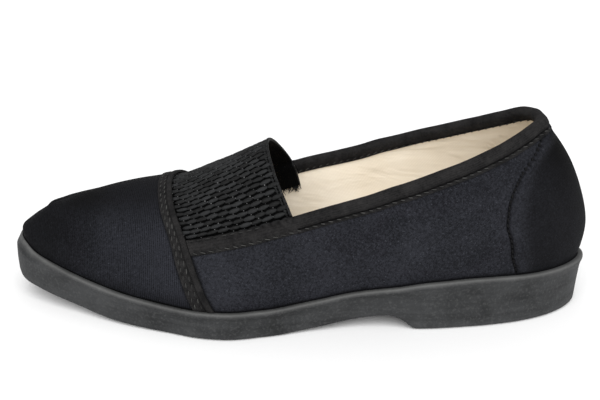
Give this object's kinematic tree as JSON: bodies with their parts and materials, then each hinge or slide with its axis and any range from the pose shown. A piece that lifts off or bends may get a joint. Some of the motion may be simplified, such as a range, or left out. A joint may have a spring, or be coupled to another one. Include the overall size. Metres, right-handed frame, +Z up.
{
  "type": "canvas slip-on shoe",
  "caption": "Left canvas slip-on shoe with an elastic gore over the instep, tape-bound collar, almond toe and a moulded rubber sole with a low heel.",
  "frame": {"origin": "on the floor under the middle of the shoe's bounding box", "axes": "+X towards the heel, -X towards the toe, +Z up, -Y towards the outer side of the foot"},
  "size_m": [0.2568, 0.0884, 0.0887],
  "materials": {
    "rubber": "matt moulded rubber, dark grey",
    "lining": "plain cream cotton",
    "canvas": "fine black canvas with a blue cast",
    "elastic": "coarse woven black elastic",
    "tape": "plain black cotton tape"
  },
  "bodies": {
    "root": {"outsole": "rubber", "insole": "lining", "upper": "canvas", "gore": "elastic", "vamp_tape": "tape", "collar_binding": "tape"}
  },
  "joints": []
}
